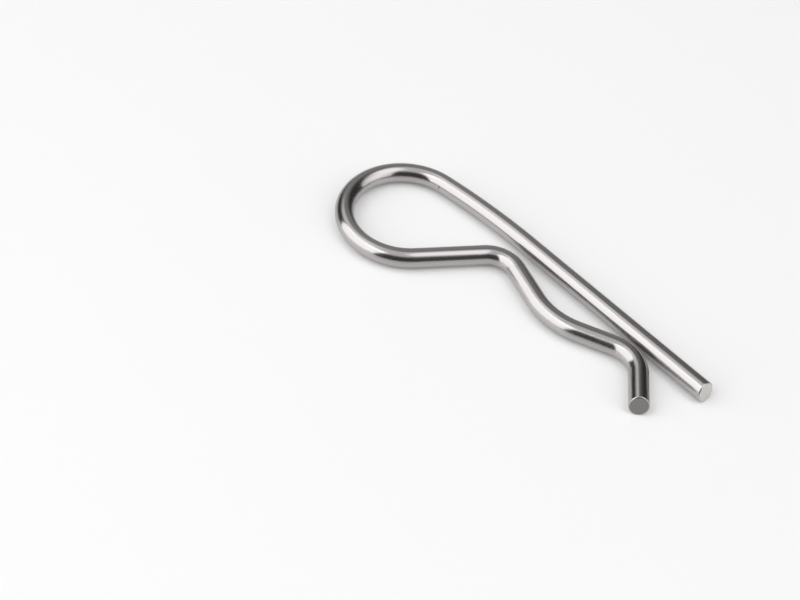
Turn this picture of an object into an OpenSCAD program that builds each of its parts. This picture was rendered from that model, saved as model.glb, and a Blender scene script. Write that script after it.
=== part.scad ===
// Hairpin cotter pin: one round spring wire, bent flat.
// The straight leg goes through a cross hole in a shaft. From its end the wire runs back,
// turns round the eye and returns as the sprung leg: over a crest, down into the seat that
// grips the outside of the shaft, up to the throat beside the straight leg, and out in a
// flared tail that leads the shaft in. Both ends are cropped from above, a little aslant.
// The clip lies flat, with the underside of the wire on z = 0 and the origin under the
// middle of its outline. The straight leg points along +X, on the +Y side.

/* [Wire] */
// Diameter of the round spring wire
wire_d = 4; // [3:0.1:4.5]
// How much thinner the radius of the wire is drawn where it is bent
bend_thinning = 0.02; // [0.01:0.01:0.05]
// Angle by which each cut leans back from square, so that the wire is shortest on top
cut_lean = 14; // [0:1:20]
// Width of the chamfer round each cut end
end_chamfer = 0.2; // [0.1:0.05:0.8]

/* [Straight leg] */
// Length of the leg that is truly straight, to the middle of its cut
leg_l = 47.8; // [40:0.1:70]
// Radius of the slack bend between the straight leg and the eye
slack_r = 160; // [100:5:300]
// Angle of the slack bend
slack_a = 8.5; // [3:0.5:12]

/* [Eye] */
// Inside diameter of the eye
eye_d = 21; // [16:0.5:28]
// Angle to the straight leg at which the wire rises from the eye
rise_a = 57; // [48:0.5:70]

/* [Crest] */
// Gap between the crest and the straight leg
crest_gap = 2.4; // [1.5:0.1:3]
// Inside radius of the bend at the crest
crest_r = 4; // [3:0.1:6]
// Angle to the straight leg at which the wire falls from the crest
fall_a = 17.5; // [14:0.5:20]

/* [Shaft seat] */
// Diameter of the shaft that the clip is made for
shaft_d = 16; // [14:0.5:20]
// Inside radius of the seat, slacker than the shaft, so that it suits a range of shafts
seat_r = 13; // [10:0.5:16]
// Angle to the straight leg at which the wire climbs from the seat
climb_a = 25; // [20:0.5:26]

/* [Throat and tail] */
// Gap between the throat and the straight leg
throat_gap = 0.85; // [0.4:0.05:1.8]
// Inside radius of the bend at the throat
throat_r = 5; // [3.5:0.1:7]
// Angle to the straight leg at which the tail flares away
flare_a = 46; // [30:0.5:60]
// Straight length of the tail, to the middle of its cut
tail_l = 7.8; // [5:0.1:14]

/* [Hidden] */
$fn = 96;

wire_r = wire_d / 2;
bent_r = wire_r - bend_thinning;
// Length by which each end of a thinned bend reaches into the thicker wire beside it
bend_lap = 0.1;

// The flat face of a cut, inside its chamfer, and how far its foot reaches past its middle
face_r = wire_r - end_chamfer;
foot_l = face_r * sin(cut_lean);

// Bend radii along the middle of the wire
eye_bend = eye_d / 2 + wire_r;
crest_bend = crest_r + wire_r;
seat_bend = seat_r + wire_r;
throat_bend = throat_r + wire_r;

// How far the middle of the wire lies below the straight leg's own
crest_drop = wire_d + crest_gap;
seat_drop = shaft_d / 2 + wire_r;
throat_drop = wire_d + throat_gap;

// How far a bend of this radius moves the wire sideways, from level to the angle
function sweep(radius, angle) = radius * (1 - cos(angle));

// The straights between the bends are as long as those drops need
eye_drop = sweep(slack_r, slack_a) + eye_bend * (cos(slack_a) + cos(rise_a));
rise_l = (eye_drop - crest_drop - sweep(crest_bend, rise_a)) / sin(rise_a);
fall_l = (seat_drop - crest_drop - sweep(crest_bend + seat_bend, fall_a)) / sin(fall_a);
climb_l = (seat_drop - throat_drop - sweep(seat_bend + throat_bend, climb_a)) / sin(climb_a);

// The wire from the leg's cut end to the tail's, step by step. A straight is [length, 0],
// and a bend is [radius, angle], positive where the wire turns left.
STEPS = [
    [leg_l, 0],
    [slack_r, slack_a],
    [eye_bend, 180 - slack_a + rise_a],
    [rise_l, 0],
    [crest_bend, -rise_a - fall_a],
    [fall_l, 0],
    [seat_bend, fall_a + climb_a],
    [climb_l, 0],
    [throat_bend, -climb_a - flare_a],
    [tail_l, 0]
];
SLACK = 1;
EYE = 2;
LAST = len(STEPS) - 1;

// A place on the wire is [x, y, heading]. This is the centre of a bend that starts there
function centre(place, bend) =
    let (side = place[2] + 90 * sign(bend[1]))
    [place[0] + bend[0] * cos(side), place[1] + bend[0] * sin(side)];

// The place where a step ends that starts at the given one
function next(place, step) =
    step[1] == 0
    ? [place[0] + step[0] * cos(place[2]), place[1] + step[0] * sin(place[2]), place[2]]
    : let (c = centre(place, step), out = place[2] + step[1] - 90 * sign(step[1]))
      [c[0] + step[0] * cos(out), c[1] + step[0] * sin(out), place[2] + step[1]];

// The place where a step starts. The straight leg lies along the X axis, back to x = 0
function start(i) = i == 0 ? [leg_l, 0, 180] : next(start(i - 1), STEPS[i - 1]);

// The outline reaches round the eye to the foot of the straight leg's cut and its outer side
eye_centre = centre(start(EYE), STEPS[EYE]);
left = eye_centre[0] - eye_bend - bent_r;
bottom = eye_centre[1] - eye_bend - bent_r;
middle = [(left + leg_l + foot_l) / 2, (bottom + wire_r) / 2];

// Straight wire from the place along +X
module straight(length) {
    rotate([0, 90, 0]) cylinder(r = wire_r, h = length);
}

// Straight wire along +X from the middle of its cut. The cone's narrow end is the leaning
// face, and its slope leaves the chamfer as it widens past the wire.
module cut_straight(length) {
    spare = wire_r;
    cone_h = length + spare;
    intersection() {
        translate([-spare, 0, 0]) straight(length + spare);
        rotate([0, 90 + cut_lean, 0]) cylinder(r1 = face_r, r2 = face_r + cone_h, h = cone_h);
    }
}

// Bent wire from the place, first heading along +X
module bend(radius, angle, tube_r, lap) {
    lap_a = lap * 180 / (PI * radius);
    translate([0, radius * sign(angle), 0])
        rotate([0, 0, angle > 0 ? -90 - lap_a : 90 + angle - lap_a])
            rotate_extrude(angle = abs(angle) + 2 * lap_a)
                translate([radius, 0]) circle(r = tube_r);
}

module cotter_pin() {
    color("#b9b6b1")
        translate([-middle[0], -middle[1], wire_r])
            for (i = [0:LAST]) {
                place = start(i);
                size = STEPS[i][0];
                turn = STEPS[i][1];
                translate([place[0], place[1], 0]) rotate([0, 0, place[2]])
                    if (i == 0) cut_straight(size);
                    else if (i == LAST) translate([size, 0, 0]) mirror([1, 0, 0]) cut_straight(size);
                    else if (turn == 0) straight(size);
                    else if (i == SLACK) bend(size, turn, wire_r, 0);
                    else bend(size, turn, bent_r, bend_lap);
            }
}

cotter_pin();
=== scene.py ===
"""Looks of a hairpin cotter pin: one polished stainless spring wire, bent flat, lying on a pale floor.

Sizes are in millimetres and angles in degrees; MM turns them to metres where Blender needs them.
"""
import math

import bpy
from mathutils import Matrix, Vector


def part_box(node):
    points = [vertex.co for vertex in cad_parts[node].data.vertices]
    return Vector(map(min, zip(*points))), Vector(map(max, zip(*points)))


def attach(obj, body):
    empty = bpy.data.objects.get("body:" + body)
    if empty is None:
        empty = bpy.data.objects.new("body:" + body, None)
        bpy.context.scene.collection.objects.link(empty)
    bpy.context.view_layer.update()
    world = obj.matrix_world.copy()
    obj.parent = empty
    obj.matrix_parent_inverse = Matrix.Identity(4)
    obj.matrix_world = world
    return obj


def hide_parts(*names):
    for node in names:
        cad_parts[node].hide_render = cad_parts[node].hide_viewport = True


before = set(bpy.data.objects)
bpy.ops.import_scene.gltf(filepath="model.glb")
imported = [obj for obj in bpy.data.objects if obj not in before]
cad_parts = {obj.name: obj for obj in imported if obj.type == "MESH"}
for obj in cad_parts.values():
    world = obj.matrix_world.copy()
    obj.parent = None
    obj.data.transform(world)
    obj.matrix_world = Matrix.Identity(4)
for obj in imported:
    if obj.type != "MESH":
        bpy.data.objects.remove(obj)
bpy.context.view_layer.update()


# --- Camera ---------------------------------------------------------------------------------
# A long lens looks down at the clip from the sprung leg's side, past the cut ends, so that
# the eye is far away at the upper left and both ends come towards the lower right.

MM = 0.001
CAMERA_PLACE = (131.638, -162.46, 220.159)
CAMERA_TURN = (42.764, -4.42, 49.16)
LENS = 69.309
SENSOR_WIDTH = 36

camera = bpy.data.objects.new("camera", bpy.data.cameras.new("camera"))
camera.location = [v * MM for v in CAMERA_PLACE]
camera.rotation_euler = [math.radians(a) for a in CAMERA_TURN]
camera.data.lens = LENS
camera.data.sensor_width = SENSOR_WIDTH
camera.data.clip_start = 10 * MM
bpy.context.scene.collection.objects.link(camera)
bpy.context.scene.camera = camera
bpy.context.scene.view_settings.view_transform = "Standard"


# --- Spring wire: shape ---------------------------------------------------------------------
# The whole clip is one length of hard-drawn stainless wire, bent cold over pins in one plane
# and cropped at both ends. Here a circle of the wire's size, set past the leg's cut, is
# extruded along each straight and spun round each bend.

SLACK_R, SLACK_A = 160, 8.5
EYE_D, RISE_A = 21, 57
CREST_GAP, CREST_R, FALL_A = 2.4, 4, 17.5
SHAFT_D, SEAT_R, CLIMB_A = 16, 13, 25
THROAT_GAP, THROAT_R, FLARE_A = 0.85, 5, 46
LEG_L, TAIL_L = 47.8, 7.8
CUT_LEAN = 14
END_CHAMFER = 0.2

low, high = (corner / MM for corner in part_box("cotter_pin"))
wire_r = (high.z - low.z) / 2
eye_bend = EYE_D / 2 + wire_r
crest_bend = CREST_R + wire_r
seat_bend = SEAT_R + wire_r
throat_bend = THROAT_R + wire_r
crest_drop = 2 * wire_r + CREST_GAP
seat_drop = SHAFT_D / 2 + wire_r
throat_drop = 2 * wire_r + THROAT_GAP


def sine(angle):
    return math.sin(math.radians(angle))


def cosine(angle):
    return math.cos(math.radians(angle))


def sweep(radius, angle):
    """How far a bend of this radius moves the wire sideways, from level to the angle."""
    return radius * (1 - cosine(angle))


def direction(azimuth, elevation=0):
    """The unit vector at this angle from +X towards +Y, and this far above the horizon."""
    level = cosine(elevation)
    return Vector((cosine(azimuth) * level, sine(azimuth) * level, sine(elevation)))


eye_drop = sweep(SLACK_R, SLACK_A) + eye_bend * (cosine(SLACK_A) + cosine(RISE_A))
rise_l = (eye_drop - crest_drop - sweep(crest_bend, RISE_A)) / sine(RISE_A)
fall_l = (seat_drop - crest_drop - sweep(crest_bend + seat_bend, FALL_A)) / sine(FALL_A)
climb_l = (seat_drop - throat_drop - sweep(seat_bend + throat_bend, CLIMB_A)) / sine(CLIMB_A)

# The wire is made this much longer than the middle of each cut, and then cropped
spare = wire_r

# Each step of the wire is a straight (length, 0) or a bend (radius, angle), left where positive
STEPS = [
    (LEG_L + spare, 0),
    (SLACK_R, SLACK_A),
    (eye_bend, 180 - SLACK_A + RISE_A),
    (rise_l, 0),
    (crest_bend, -RISE_A - FALL_A),
    (fall_l, 0),
    (seat_bend, FALL_A + CLIMB_A),
    (climb_l, 0),
    (throat_bend, -CLIMB_A - FLARE_A),
    (TAIL_L + spare, 0),
]

# The mesh: sides of the circle, distance between rings in a bend, and steps across a cut's rim
SIDES = 72
RING_STEP = 0.5
RIM_STEPS = 3

# Points closer than this are one
MERGE = 0.001
# Faces whose normals agree with a cut's to this cosine lie in it
IN_CUT = 0.999
# The faces turn by 5 degrees or less round the wire and along its bends, and by more at the
# rims, whose edges stay crisp
CRISP_A = 10

# The foot of the leg's cut is the frame's highest X
foot_l = (wire_r - END_CHAMFER) * sine(CUT_LEAN)
leg_cut = Vector((high.x - foot_l, high.y - wire_r, wire_r))
start = leg_cut + direction(0) * spare

bpy.ops.object.select_all(action="DESELECT")
bpy.ops.mesh.primitive_circle_add(
    vertices=SIDES, radius=wire_r * MM, location=start * MM, rotation=(0, math.radians(90), 0)
)
wire = bpy.context.object
wire.name = "wire"
wire.data.name = "wire"
bpy.ops.object.transform_apply(location=True, rotation=True, scale=True)
bpy.ops.object.mode_set(mode="EDIT")
bpy.ops.mesh.select_all(action="SELECT")

place = start
heading = 180
runs = [0]
for size, turn in STEPS:
    run = runs[-1]
    if turn == 0:
        # Rings lie only close to the ends, where they are clear of the slanting cuts
        stops = [RING_STEP, size - RING_STEP, size]
        for before, stop in zip([0] + stops, stops):
            move = direction(heading) * (stop - before)
            bpy.ops.mesh.extrude_region_move(TRANSFORM_OT_translate={"value": move * MM})
        place = place + direction(heading) * size
    else:
        side = math.copysign(90, turn)
        centre = place + direction(heading + side) * size
        length = size * math.radians(abs(turn))
        rings = math.ceil(length / RING_STEP)
        stops = [length * (ring + 1) / rings for ring in range(rings)]
        # The spin turns the other way round its axis than the wire's angles do
        bpy.ops.mesh.spin(
            steps=rings, angle=math.radians(-turn), center=centre * MM, axis=(0, 0, 1)
        )
        heading += turn
        place = centre + direction(heading - side) * size
    runs += [run + stop for stop in stops]
tail_cut = place - direction(heading) * spare
bpy.ops.object.mode_set(mode="OBJECT")

# The drawing lines need to know the wire as it was before it was bent: how far along it each
# point lies, and where round it. The UV map says which way is round the wire.
points = wire.data.vertices
straightened = wire.data.attributes.new("straightened", "FLOAT_VECTOR", "POINT")
for i in range(len(points)):
    round_a = 360 * (i % SIDES) / SIDES
    straightened.data[i].vector = (runs[i // SIDES], wire_r * cosine(round_a), wire_r * sine(round_a))

drawn = wire.data.uv_layers.new(name="drawn")
girth = 2 * math.pi * wire_r
for face in wire.data.polygons:
    sides = [wire.data.loops[i].vertex_index % SIDES for i in face.loop_indices]
    closes = max(sides) - min(sides) > 1
    for i, side in zip(face.loop_indices, sides):
        turned = SIDES if closes and side == 0 else side
        drawn.data[i].uv = (turned / SIDES * girth, runs[wire.data.loops[i].vertex_index // SIDES])


def crop(cut, outward, slot):
    """Crops the wire at a cut that leans back from square, and takes the edge off its rim.

    The face that the cut leaves takes the material of this slot.
    """
    normal = direction(outward, CUT_LEAN)
    bpy.ops.object.mode_set(mode="EDIT")
    bpy.ops.mesh.select_all(action="SELECT")
    bpy.ops.mesh.bisect(plane_co=cut * MM, plane_no=normal, use_fill=True, clear_outer=True)
    bpy.ops.mesh.bevel(offset=END_CHAMFER * MM, segments=RIM_STEPS, affect="EDGES")
    bpy.ops.object.mode_set(mode="OBJECT")
    for face in wire.data.polygons:
        if (face.center / MM - cut).length < wire_r and face.normal.dot(normal) > IN_CUT:
            face.material_index = slot


for slot in range(3):
    wire.data.materials.append(None)
crop(leg_cut, 0, 1)
crop(tail_cut, heading, 2)

bpy.ops.object.mode_set(mode="EDIT")
bpy.ops.mesh.select_all(action="SELECT")
bpy.ops.mesh.remove_doubles(threshold=MERGE * MM)
bpy.ops.mesh.normals_make_consistent(inside=False)
bpy.ops.object.mode_set(mode="OBJECT")
bpy.ops.object.shade_smooth_by_angle(angle=math.radians(CRISP_A))


# --- Spring wire: finish --------------------------------------------------------------------
# Hard-drawn stainless steel, polished after drawing: a warm grey mirror with faint lines left
# along the wire by the die. The lines smear reflections round the wire but not along it.

# Real drawing lines are a few hundredths of a millimetre wide, and are drawn wider here to show
LINE_WIDTH = 0.25
LINE_LENGTH = 20
LINE_HEIGHT = 0.0008

# Drawing and bending leave the surface very slightly uneven, which makes reflections waver
WAVE_LENGTH = 2.5
WAVE_HEIGHT = 0.004

# The bending pin leaves a short mark where the eye's bend begins, on the inner side. Its dark
# colour is painted shade, standing in for the darker reflection in the nick, which is not modelled
MARK_WIDTH = 0.35
MARK_REACH = 1.2
MARK_UP = 12
mark_run = spare + LEG_L + SLACK_R * math.radians(SLACK_A)
mark_place = (mark_run, -wire_r * cosine(MARK_UP), wire_r * sine(MARK_UP))

# A mix node has a socket of each name for every kind of data, so its colours go by number
COLOUR_A, COLOUR_B, COLOUR_OUT = 6, 7, 2


def linear(hex_colour):
    """A colour written as sRGB hex, as the linear values that the shader takes."""
    channels = [int(hex_colour[i : i + 2], 16) / 255 for i in (1, 3, 5)]
    turned = [c / 12.92 if c <= 0.04045 else ((c + 0.055) / 1.055) ** 2.4 for c in channels]
    return (*turned, 1)


def add(tree, kind, settings=None, links=None):
    """Adds a node with its settings. Each link is an input's name and a value or an output."""
    node = tree.nodes.new(kind)
    for name, value in (settings or {}).items():
        setattr(node, name, value)
    for name, value in (links or {}).items():
        if isinstance(value, bpy.types.NodeSocket):
            tree.links.new(value, node.inputs[name])
        else:
            node.inputs[name].default_value = value
    return node


def new_material(name):
    material = bpy.data.materials.new(name)
    material.use_nodes = True
    material.node_tree.nodes.clear()
    return material, material.node_tree


steel, tree = new_material("polished_stainless_wire")
along = add(tree, "ShaderNodeAttribute", {"attribute_name": "straightened"})
stretched = add(
    tree,
    "ShaderNodeMapping",
    links={"Vector": along.outputs["Vector"], "Scale": (LINE_WIDTH / LINE_LENGTH, 1, 1)},
)
lines = add(
    tree,
    "ShaderNodeTexNoise",
    links={"Vector": stretched.outputs["Vector"], "Scale": 1 / LINE_WIDTH, "Detail": 3},
)
waves = add(
    tree,
    "ShaderNodeTexNoise",
    links={"Vector": along.outputs["Vector"], "Scale": 1 / WAVE_LENGTH, "Detail": 1},
)
wavy = add(
    tree,
    "ShaderNodeBump",
    links={"Height": waves.outputs["Fac"], "Distance": WAVE_HEIGHT * MM, "Strength": 1},
)
lined = add(
    tree,
    "ShaderNodeBump",
    links={
        "Height": lines.outputs["Fac"],
        "Distance": LINE_HEIGHT * MM,
        "Strength": 1,
        "Normal": wavy.outputs["Normal"],
    },
)
from_mark = add(
    tree,
    "ShaderNodeMapping",
    {"vector_type": "TEXTURE"},
    {
        "Vector": along.outputs["Vector"],
        "Location": mark_place,
        "Scale": (MARK_WIDTH / 2, MARK_REACH / 2, MARK_REACH / 2),
    },
)
mark_painted_shade = add(
    tree,
    "ShaderNodeTexGradient",
    {"gradient_type": "SPHERICAL"},
    {"Vector": from_mark.outputs["Vector"]},
)
# The steel's colour, with the mark's painted shade mixed in where the bending pin's mark lies
shade = add(
    tree,
    "ShaderNodeMix",
    {"data_type": "RGBA"},
    {
        "Factor": mark_painted_shade.outputs["Fac"],
        COLOUR_A: linear("#b1aead"),
        COLOUR_B: linear("#4a4644"),
    },
)
sheen = add(
    tree,
    "ShaderNodeMapRange",
    links={
        "Value": lines.outputs["Fac"],
        "From Min": 0.3,
        "From Max": 0.7,
        "To Min": 0.17,
        "To Max": 0.23,
    },
)
round_wire = add(tree, "ShaderNodeTangent", {"direction_type": "UV_MAP", "uv_map": "drawn"})
surface = add(
    tree,
    "ShaderNodeBsdfPrincipled",
    links={
        "Base Color": shade.outputs[COLOUR_OUT],
        "Metallic": 1,
        "Roughness": sheen.outputs["Result"],
        "Anisotropic": 0.7,
        "Tangent": round_wire.outputs["Tangent"],
        "Normal": lined.outputs["Normal"],
    },
)
add(tree, "ShaderNodeOutputMaterial", links={"Surface": surface.outputs["BSDF"]})
wire.data.materials[0] = steel

# The cropped faces: bare steel, sheared and then torn by the knife, so finely grained and dull.
# The leg's face is painted pale and the tail's painted darker, as lit and shaded copies of one
# steel that stand in for the brighter and darker reflections the two faces show. The torn grain
# is drawn several times as coarse as it is, to show.
GRAIN = 0.3
GRAIN_HEIGHT = 0.004

# Two copies of one cut steel: painted light for the leg's face, painted shade for the tail's
CROPPED = [("cropped_stainless_painted_light", "#cac8c5"), ("cropped_stainless_painted_shade", "#8a8886")]

for slot, (name, colour) in enumerate(CROPPED, start=1):
    cropped, tree = new_material(name)
    inside = add(tree, "ShaderNodeTexCoord")
    grain = add(
        tree,
        "ShaderNodeTexNoise",
        links={"Vector": inside.outputs["Object"], "Scale": 1 / (GRAIN * MM), "Detail": 3},
    )
    torn = add(
        tree,
        "ShaderNodeBump",
        links={"Height": grain.outputs["Fac"], "Distance": GRAIN_HEIGHT * MM, "Strength": 1},
    )
    surface = add(
        tree,
        "ShaderNodeBsdfPrincipled",
        links={
            "Base Color": linear(colour),
            "Metallic": 1,
            "Roughness": 0.35,
            "Normal": torn.outputs["Normal"],
        },
    )
    add(tree, "ShaderNodeOutputMaterial", links={"Surface": surface.outputs["BSDF"]})
    wire.data.materials[slot] = cropped

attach(wire, "root")
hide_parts("cotter_pin")


# --- Floor ----------------------------------------------------------------------------------
# A plain sheet of satin white acrylic. It takes the clip's shadow, has a soft sheen where it is
# seen at a low angle, and glows a little towards the camera and the metal, to read as white.

FLOOR_SIZE = 6000
FLOOR_GLOW = 0.1


def seen(tree):
    """1 where the camera looks, straight or by way of metal or glass, and 0 for other light."""
    path = add(tree, "ShaderNodeLightPath")
    mirrored = add(
        tree,
        "ShaderNodeMath",
        {"operation": "MAXIMUM"},
        {0: path.outputs["Is Glossy Ray"], 1: path.outputs["Is Transmission Ray"]},
    )
    return add(
        tree,
        "ShaderNodeMath",
        {"operation": "MAXIMUM"},
        {0: path.outputs["Is Camera Ray"], 1: mirrored.outputs["Value"]},
    ).outputs["Value"]


bpy.ops.object.select_all(action="DESELECT")
bpy.ops.mesh.primitive_plane_add(size=FLOOR_SIZE * MM)
floor = bpy.context.object
floor.name = "floor"
sheet, tree = new_material("satin_white_acrylic")
glow = add(tree, "ShaderNodeMath", {"operation": "MULTIPLY"}, {0: seen(tree), 1: FLOOR_GLOW})
surface = add(
    tree,
    "ShaderNodeBsdfPrincipled",
    links={
        "Base Color": linear("#eaeaea"),
        "Roughness": 0.35,
        "IOR": 1.49,
        "Emission Color": (1, 1, 1, 1),
        "Emission Strength": glow.outputs["Value"],
    },
)
add(tree, "ShaderNodeOutputMaterial", links={"Surface": surface.outputs["BSDF"]})
floor.data.materials.append(sheet)


# --- Light ----------------------------------------------------------------------------------
# Two large softboxes stand round the clip in a dim studio. The key lights it from the sprung
# leg's side, and the tall fill from beyond the cut ends. Neither shows in the picture itself.

SOFTBOX_DISTANCE = 1800


def softbox(name, place, faces, width, height, roll, radiance):
    """An area light with its middle at this azimuth and elevation, as bright all over.

    It is turned as if it faced the clip from the azimuth and elevation that it faces.
    """
    light = bpy.data.lights.new(name, "AREA")
    light.shape = "RECTANGLE"
    light.size = width * MM
    light.size_y = height * MM
    light.energy = radiance * math.pi * width * height * MM * MM
    lamp = bpy.data.objects.new(name, light)
    lamp.location = direction(*place) * SOFTBOX_DISTANCE * MM
    lamp.rotation_euler = direction(*faces).to_track_quat("Z", "Y").to_euler()
    lamp.rotation_euler.rotate_axis("Z", math.radians(roll))
    lamp.visible_camera = False
    bpy.context.scene.collection.objects.link(lamp)


softbox(
    "key_softbox",
    place=(-124, 40),
    faces=(-117, 23),
    width=2160,
    height=2410,
    roll=8,
    radiance=2.04,
)
softbox(
    "fill_softbox",
    place=(28, 67),
    faces=(42, 15),
    width=1510,
    height=3350,
    roll=-14,
    radiance=1.05,
)

# The studio's walls and ceiling, as a dome that only the metal and the floor see. It is dim,
# with paler patches, each given by the azimuth and elevation of its middle, the angles from
# there at which it starts to fade and is gone, and its radiance.
DOME_R = 3500
DIM = 0.05
PATCHES = [
    (-30, 87, 21, 39, 0.87),  # ceiling
    (173, 52, 0, 23, 1.0),  # spill above the key
    (139, 25, 0, 37, 0.35),  # far wall
    (22, 38, 8, 29, 0.67),  # wall behind the fill, which brightens the fill's middle
]
bpy.ops.object.select_all(action="DESELECT")
bpy.ops.mesh.primitive_uv_sphere_add(segments=64, ring_count=32, radius=DOME_R * MM)
dome = bpy.context.object
dome.name = "studio_walls"
dome.visible_camera = False
walls, tree = new_material("dim_walls_and_ceiling")
walls.cycles.emission_sampling = "NONE"
on_dome = add(tree, "ShaderNodeTexCoord")
outward = add(
    tree, "ShaderNodeVectorMath", {"operation": "NORMALIZE"}, {0: on_dome.outputs["Object"]}
)
strength = DIM
for azimuth, elevation, fades, gone, radiance in PATCHES:
    near = add(
        tree,
        "ShaderNodeVectorMath",
        {"operation": "DOT_PRODUCT"},
        {0: outward.outputs["Vector"], 1: direction(azimuth, elevation)},
    )
    patch = add(
        tree,
        "ShaderNodeMapRange",
        {"interpolation_type": "SMOOTHSTEP"},
        {
            "Value": near.outputs["Value"],
            "From Min": cosine(gone),
            "From Max": cosine(fades),
            "To Min": 0,
            "To Max": radiance,
        },
    )
    strength = add(
        tree, "ShaderNodeMath", {"operation": "ADD"}, {0: strength, 1: patch.outputs["Result"]}
    ).outputs["Value"]
surface = add(tree, "ShaderNodeEmission", links={"Strength": strength})
add(tree, "ShaderNodeOutputMaterial", links={"Surface": surface.outputs["Emission"]})
dome.data.materials.append(walls)

# Past the floor's edge the camera and the metal see white
WORLD_LIGHT = 0.2
world = bpy.data.worlds.new("studio")
bpy.context.scene.world = world
world.use_nodes = True
world.node_tree.nodes.clear()
tree = world.node_tree
level = add(
    tree,
    "ShaderNodeMapRange",
    links={"Value": seen(tree), "To Min": WORLD_LIGHT, "To Max": 1},
)
surface = add(tree, "ShaderNodeBackground", links={"Strength": level.outputs["Result"]})
add(tree, "ShaderNodeOutputWorld", links={"Surface": surface.outputs["Background"]})
